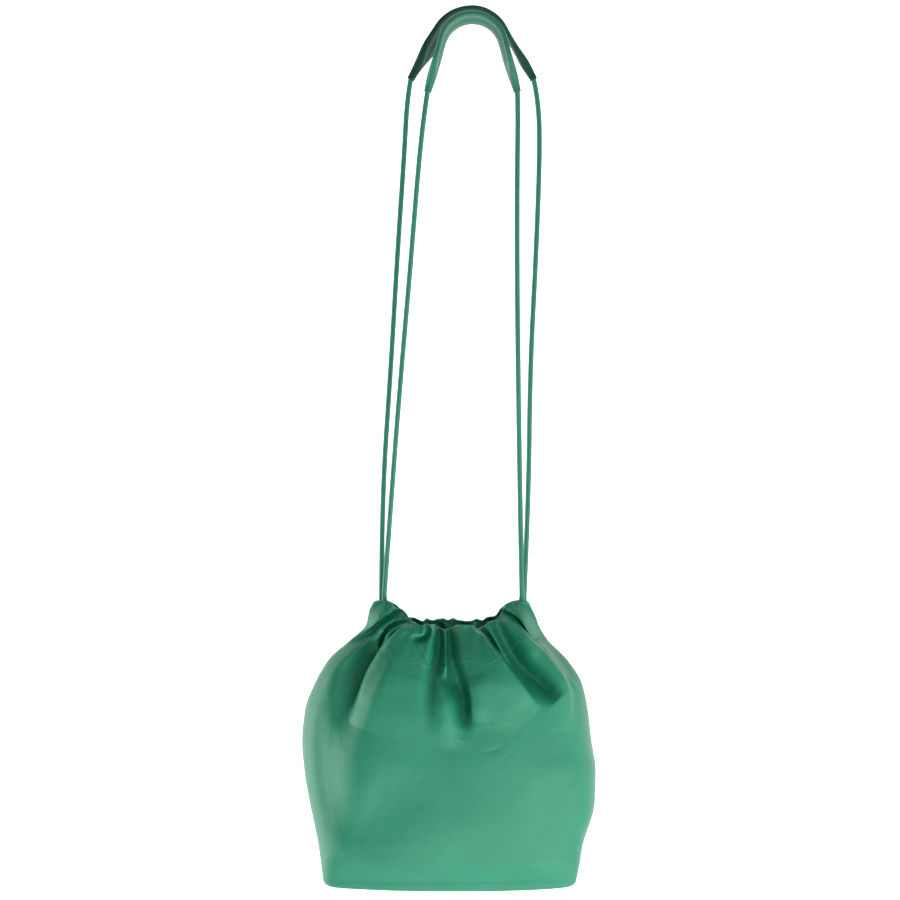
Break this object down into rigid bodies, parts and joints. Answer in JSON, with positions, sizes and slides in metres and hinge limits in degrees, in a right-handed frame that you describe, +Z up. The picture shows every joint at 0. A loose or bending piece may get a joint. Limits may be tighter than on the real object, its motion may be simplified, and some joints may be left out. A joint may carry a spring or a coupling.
{
  "type": "drawstring bucket bag",
  "caption": "Soft leather drawstring bucket bag hanging by two long cord straps with padded shoulder sleeves.",
  "frame": {"origin": "midway between the two straps' pads, at the height of the front pad's underside at the top of its arch, where a shoulder or a hook bears", "axes": "+Z up, +X to the right as seen from the front, -Y out of the front"},
  "size_m": [0.254, 0.1422, 0.7645],
  "materials": {
    "bag_leather": "smooth semi-gloss nappa, fine grain",
    "pad_leather": "smooth semi-gloss nappa, fine grain",
    "cord_leather": "smooth semi-gloss rolled leather",
    "lining": "matt cotton twill",
    "seam_tape": "matt woven tape",
    "thread": "bonded polyester thread",
    "pad_filling": "felt core",
    "board": "matt bag board"
  },
  "bodies": {
    "front_strap": {"front_cord_left": "cord_leather", "front_cord_right": "cord_leather", "front_pad_core": "pad_filling", "front_pad_sleeve": "pad_leather", "front_pad_stitching": "thread"},
    "bag": {"back_channel_cord": "cord_leather", "back_channel_facing": "bag_leather", "back_channel_stitching": "thread", "back_panel": "bag_leather", "base_board": "board", "base_panel": "bag_leather", "base_seam_tape": "seam_tape", "front_channel_cord": "cord_leather", "front_channel_facing": "bag_leather", "front_channel_stitching": "thread", "front_panel": "bag_leather", "left_side_seam_tape": "seam_tape", "lining_back": "lining", "lining_base": "lining", "lining_front": "lining", "pocket_binding": "lining", "right_side_seam_tape": "seam_tape", "slip_pocket": "lining"},
    "back_strap": {"back_cord_left": "cord_leather", "back_cord_right": "cord_leather", "back_pad_core": "pad_filling", "back_pad_sleeve": "pad_leather", "back_pad_stitching": "thread"}
  },
  "joints": [
    {"name": "bag_swing", "type": "hinge", "parent": "front_strap", "child": "bag", "pos_m": [-0.0195, -0.0026, -0.499], "axis": [-1, 0, 0], "range_deg": [0, 110]},
    {"name": "back_strap_swing", "type": "hinge", "parent": "bag", "child": "back_strap", "pos_m": [-0.0195, 0.0026, -0.499], "axis": [-1, 0, 0], "range_deg": [0, 110]}
  ]
}
